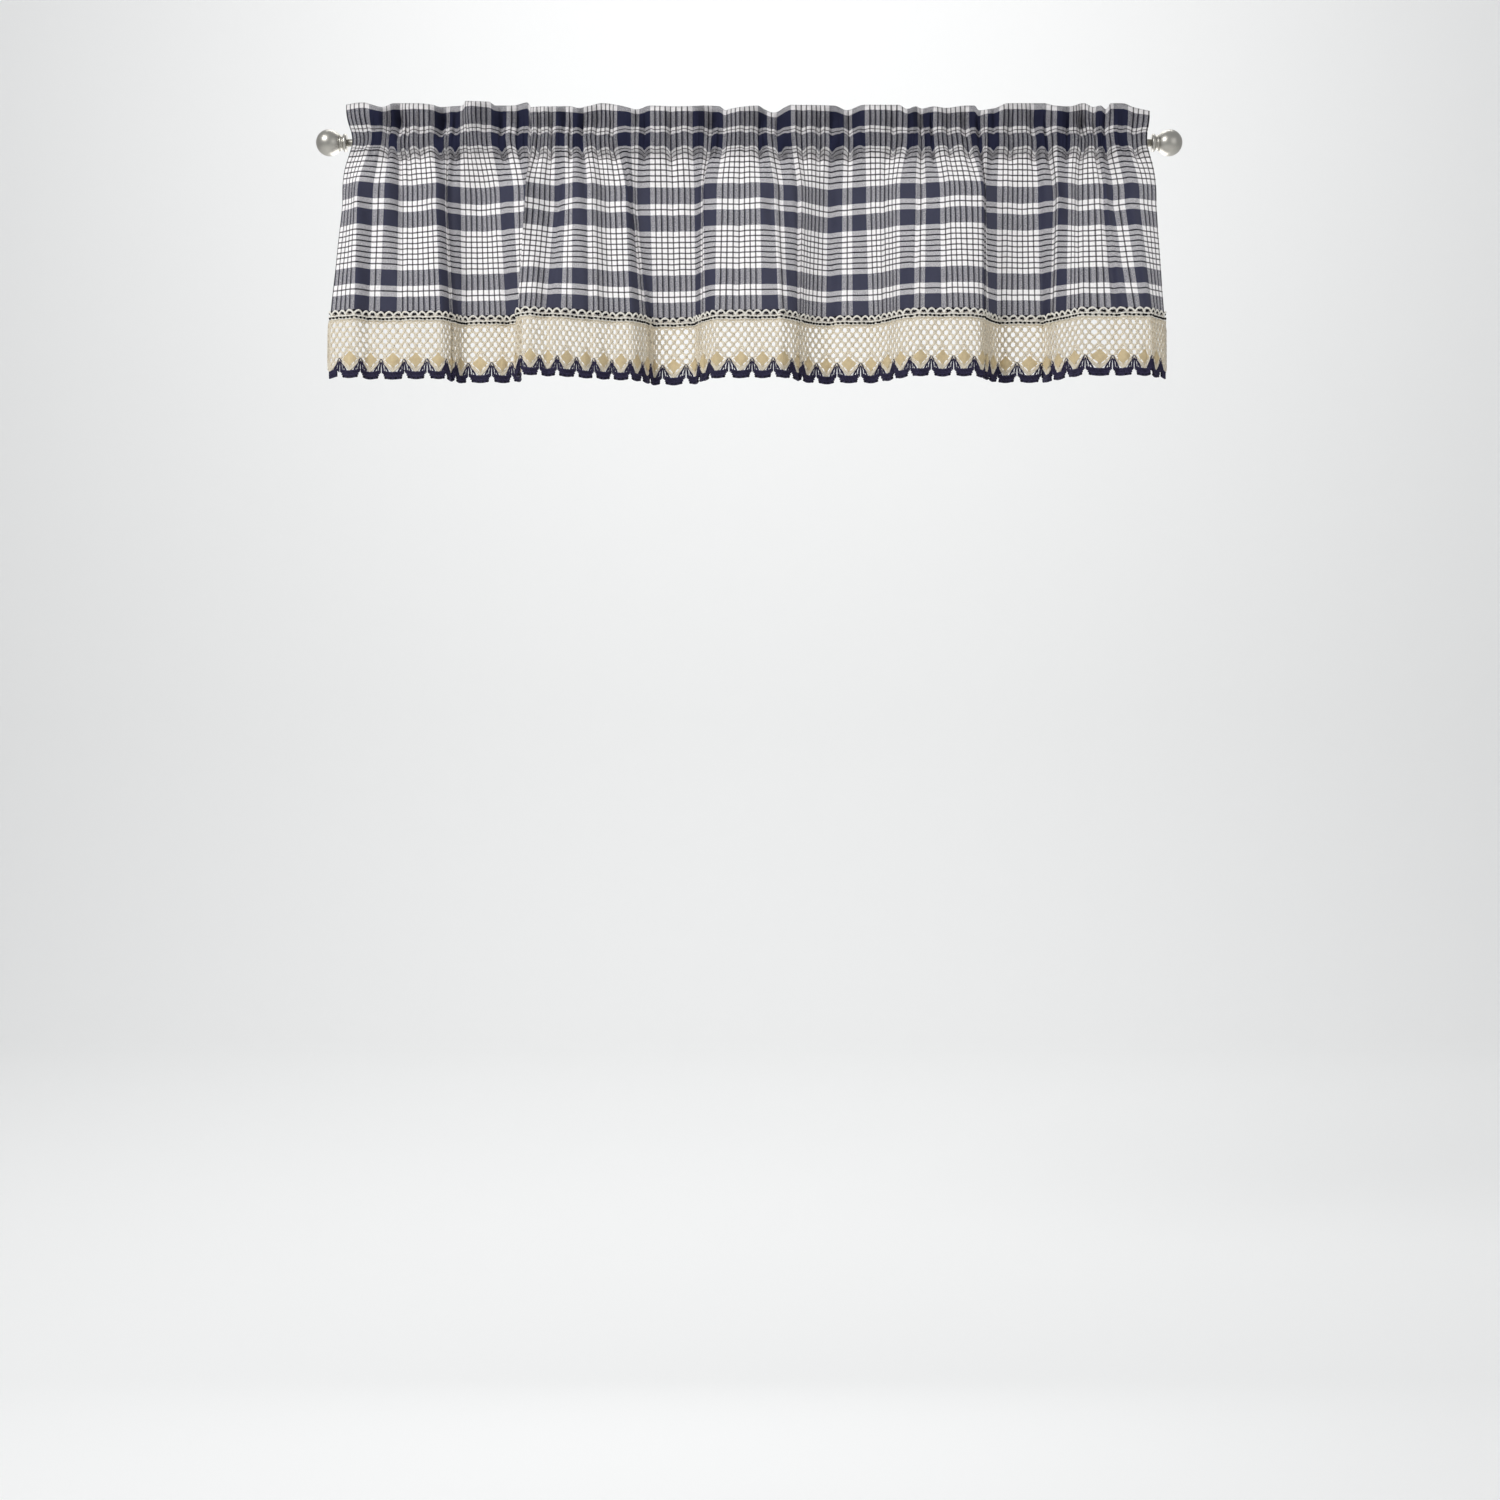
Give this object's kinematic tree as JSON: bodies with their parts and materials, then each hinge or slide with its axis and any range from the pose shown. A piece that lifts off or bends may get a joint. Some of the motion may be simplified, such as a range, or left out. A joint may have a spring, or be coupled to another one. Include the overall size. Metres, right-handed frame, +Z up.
{
  "type": "window valance on a curtain rod",
  "caption": "Gathered rod-pocket window valance in plaid cotton with a crochet lace border, braid and scalloped edging, on a slim metal rod with ball finials.",
  "frame": {"origin": "middle of the curtain rod's axis", "axes": "+X along the rod, -Y the front that faces the room, +Z up"},
  "size_m": [1.1154, 0.0847, 0.3608],
  "materials": {
    "plaid_cotton": "yarn-dyed plaid, plain weave, matte",
    "crochet_lace": "ecru cotton lace, matte",
    "woven_braid": "cream and black looped braid, matte",
    "navy_crochet": "navy crochet cord, matte",
    "satin_nickel": "satin nickel"
  },
  "bodies": {
    "root": {"valance_cloth": "plaid_cotton", "lace_border": "crochet_lace", "braid_trim": "woven_braid", "scallop_edging": "navy_crochet", "curtain_rod": "satin_nickel", "finial_left": "satin_nickel", "finial_right": "satin_nickel"}
  },
  "joints": []
}
